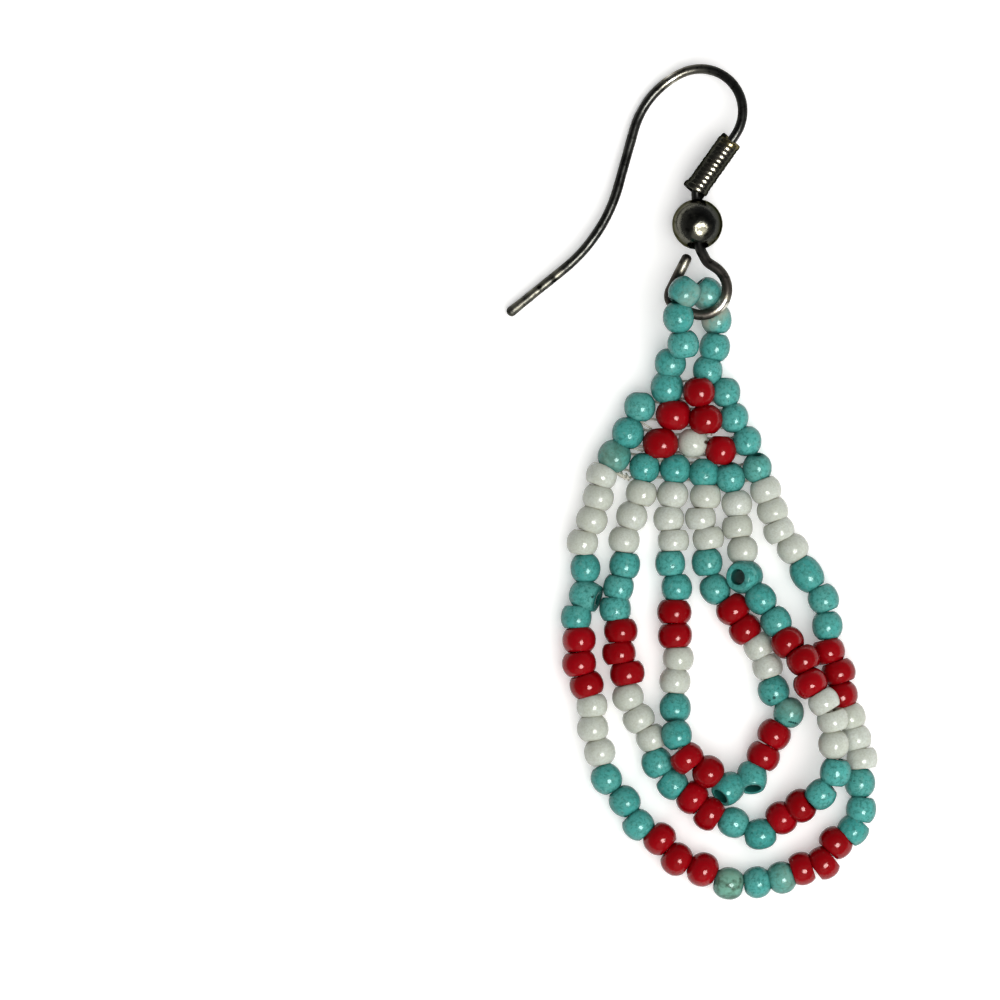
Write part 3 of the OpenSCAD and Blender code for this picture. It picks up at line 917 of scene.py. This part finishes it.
def red_glaze():
    m = Nodes("red_glaze")
    fine = m.noise(4.0, 3.0, 0.6)
    own = m.mark("bead_seed")
    colour = m.mix(m.span(own, 0, 1), (0.230, 0.001, 0.003), (0.300, 0.002, 0.006))
    colour = m.mix(m.span(m.noise(0.8), 0.4, 0.75, 0, 0.4), colour, (0.185, 0.001, 0.003))
    # Painted shade: darker at the outline as the surface turns away, on the ends where the beads
    # meet, and inside the hole
    colour = m.mix(m.turning_away(0.25, 0.85, 0.5), colour, (0.070, 0.0, 0.001))
    colour = m.mix(m.span(m.mark("bead_rim"), 0.84, 1.0, 0, 0.3), colour, (0.110, 0.0, 0.001))
    colour = m.mix(m.mark("bead_bore"), colour, (0.060, 0.0, 0.001))
    m.set(base_color=colour, roughness=m.span(fine, 0.3, 0.8, 0.09, 0.16), ior=1.37,
          specular_tint=(1.0, 0.76, 0.74), specular_ior_level=m.gloss())
    m.bump(fine, 0.006)
    return m.material


def white_glaze():
    m = Nodes("white_glaze")
    fine = m.noise(3.0, 3.0, 0.6)
    own = m.mark("bead_seed")
    colour = m.mix(m.span(own, 0, 1), (0.520, 0.556, 0.498), (0.580, 0.622, 0.580))
    colour = m.mix(m.span(m.noise(0.7, 3.0, 0.6, 0.004), 0.4, 0.7, 0, 0.5), colour,
                   (0.465, 0.490, 0.425))
    colour = m.mix(m.span(m.noise(8.0, 2.0, 0.6, 0.017), 0.40, 0.65, 0, 0.5), colour,
                   (0.390, 0.400, 0.335))
    stain = m.span(m.noise(2.3, 4.0, 0.7, 0.009), 0.68, 0.78, 0, 0.5)
    colour = m.mix(stain, colour, (0.280, 0.240, 0.150))
    # Painted shade: darker at the outline as the surface turns away
    colour = m.mix(m.turning_away(0.30, 0.90, 0.5), colour, (0.260, 0.260, 0.210))
    colour = m.mix(m.span(m.mark("bead_rim"), 0.88, 1.0, 0, 0.4), colour, (0.360, 0.330, 0.240))
    # Darker and browner inside the hole: painted shade, with grime
    colour = m.mix(m.mark("bead_bore"), colour, (0.150, 0.130, 0.080))
    colour = m.mix(m.chip(), colour, (0.060, 0.045, 0.030))
    m.set(base_color=colour, roughness=m.span(fine, 0.3, 0.8, 0.12, 0.22), ior=1.4,
          subsurface_weight=0.45, subsurface_radius=(0.5, 0.5, 0.4), subsurface_scale=0.0005)
    m.bump(fine, 0.011)
    return m.material


def steel(name, low, high, edge, smooth, rough, patches):
    """Dark steel: an uneven film, worn through in blotches, over a fine grain, with painted
    highlights, and patches among which are a painted dark reflection and a painted highlight on
    the ball.
    """
    m = Nodes(name)
    film = m.noise(0.9, 4.0, 0.65)
    grain = m.noise(9.0, 3.0, 0.7)
    blotch = m.noise(2.4, 3.0, 0.7, 0.013)
    wear, shine = m.mark("wire_wear"), m.mark("wire_shine")
    colour = m.mix(m.span(film, 0.35, 0.7), low, high)
    ring = m.mark("wire_ring")
    colour = m.mix(ring, colour, (0.102, 0.092, 0.080))
    worn = m.math("MULTIPLY", wear, m.span(blotch, 0.60, 0.44))
    colour = m.mix(worn, colour, (0.105, 0.105, 0.088))
    # Painted highlights: lighter metal where the lamp's reflection falls, near white at the glints
    # over 1
    colour = m.mix(shine, colour, (0.330, 0.312, 0.250))
    colour = m.mix(m.span(shine, 1.0, 1.8), colour, (0.800, 0.780, 0.700))
    colour = m.mix(m.span(blotch, 0.56, 0.64, 0, 0.6), colour, (0.010, 0.009, 0.007))
    for point, radii, tone, much in patches:
        # A dull or coloured patch with an uneven edge; on the ball one is a painted dark
        # reflection over its right side and one a painted highlight at its front
        away = m.math("ADD", m.near(point, radii), m.span(m.noise(5.0), 0.3, 0.7, -0.4, 0.4))
        colour = m.mix(m.span(away, 1.25, 0.75, 0, much), colour, tone)
    dull = m.math("ADD", m.math("MULTIPLY", wear, 0.14), m.math("MULTIPLY", ring, 0.12))
    dull = m.math("ADD", dull, m.span(shine, 0.9, 1.6, 0, -0.12))
    m.set(base_color=colour, metallic=1.0, specular_tint=edge,
          roughness=m.math("ADD", m.span(film, 0.3, 0.75, smooth, rough), dull))
    m.bump(m.math("ADD", m.span(grain, 0, 1, 0, 0.35), blotch), 0.014)
    return m.material


def thread_fibre():
    m = Nodes("white_thread")
    twist = m.noise(6.0, 2.0, 0.5)
    colour = m.mix(m.span(twist, 0.3, 0.7), (0.420, 0.400, 0.330), (0.600, 0.580, 0.500))
    m.set(base_color=colour, roughness=0.55, sheen_weight=0.2)
    m.bump(twist, 0.02)
    return m.material


# ---------------------------------------------------------------- floor, light and camera
def make_floor():
    mesh = bpy.data.meshes.new("floor")
    s = FLOOR_HALF
    mesh.from_pydata([(-s, -s, 0), (s, -s, 0), (s, s, 0), (-s, s, 0)], [], [(0, 1, 2, 3)])
    floor = bpy.data.objects.new("floor", mesh)
    bpy.context.scene.collection.objects.link(floor)
    m = Nodes("floor_card")
    m.set(base_color=m.mix(m.noise(0.05), (0.94, 0.94, 0.945), (0.96, 0.96, 0.965)), roughness=0.9,
          specular_ior_level=0.0, emission_color=(1.0, 1.0, 1.0), emission_strength=FLOOR_GLOW)
    mesh.materials.append(m.material)


def add_area(name, at, size, power, colour):
    """A round light that is aimed at the middle of the earring."""
    data = bpy.data.lights.new(name, "AREA")
    data.shape = "DISK"
    data.size, data.energy, data.color = size, power, colour
    light = bpy.data.objects.new(name, data)
    bpy.context.scene.collection.objects.link(light)
    light.location = at
    light.rotation_mode = "QUATERNION"
    light.rotation_quaternion = (-Vector(at)).to_track_quat("-Z", "Y")
    return light


def make_light():
    # A wide soft light for the shading alone, and a small lamp for the gloss alone
    add_area("soft", *SOFT).visible_glossy = False
    add_area("lamp", *LAMP).visible_diffuse = False
    add_area("low", *LOW)
    world = bpy.data.worlds.new("studio")
    bpy.context.scene.world = world
    world.use_nodes = True
    tree = world.node_tree
    back = tree.nodes["Background"]
    coords = tree.nodes.new("ShaderNodeTexCoord")
    split = tree.nodes.new("ShaderNodeSeparateXYZ")
    ramp = tree.nodes.new("ShaderNodeMapRange")
    for key, number in (("From Min", 0.0), ("From Max", ROUND_UP),
                        ("To Min", ROUND_LOW), ("To Max", ROUND_HIGH)):
        ramp.inputs[key].default_value = number
    tree.links.new(coords.outputs["Generated"], split.inputs[0])
    tree.links.new(split.outputs["Z"], ramp.inputs["Value"])
    tree.links.new(ramp.outputs["Result"], back.inputs["Strength"])
    back.inputs["Color"].default_value = (0.95, 0.97, 1.0, 1.0)


def make_camera():
    data = bpy.data.cameras.new("camera")
    camera = bpy.data.objects.new("camera", data)
    bpy.context.scene.collection.objects.link(camera)
    bpy.context.scene.camera = camera
    data.sensor_width = 36
    data.lens = data.sensor_width * (CAMERA[2] - LIE_Z) / SHOWN
    data.clip_start, data.clip_end = 0.01, 5
    camera.location = np.array(CAMERA) * MM


make_camera()
make_floor()
make_light()
# A steel: two colours of its film, colour at the edge, roughness from and to, patches
make_hook(steel("wire_steel", (0.041, 0.042, 0.040), (0.080, 0.080, 0.075), (0.20, 0.20, 0.19),
                0.26, 0.36, WIRE_PATCHES))
make_coil(steel("coil_steel", (0.036, 0.037, 0.031), (0.068, 0.068, 0.055), (0.15, 0.15, 0.13),
                0.20, 0.28, COIL_PATCHES))
make_ball(steel("ball_steel", (0.100, 0.098, 0.080), (0.160, 0.157, 0.130), (0.3, 0.3, 0.25),
                0.14, 0.22, BALL_SMUDGES_AND_PAINTED_LIGHT))
strung = make_beads({"T": turquoise_glaze(), "R": red_glaze(), "W": white_glaze()})
make_thread(thread_fibre(), *strung)
bpy.context.scene.view_settings.view_transform = "Standard"
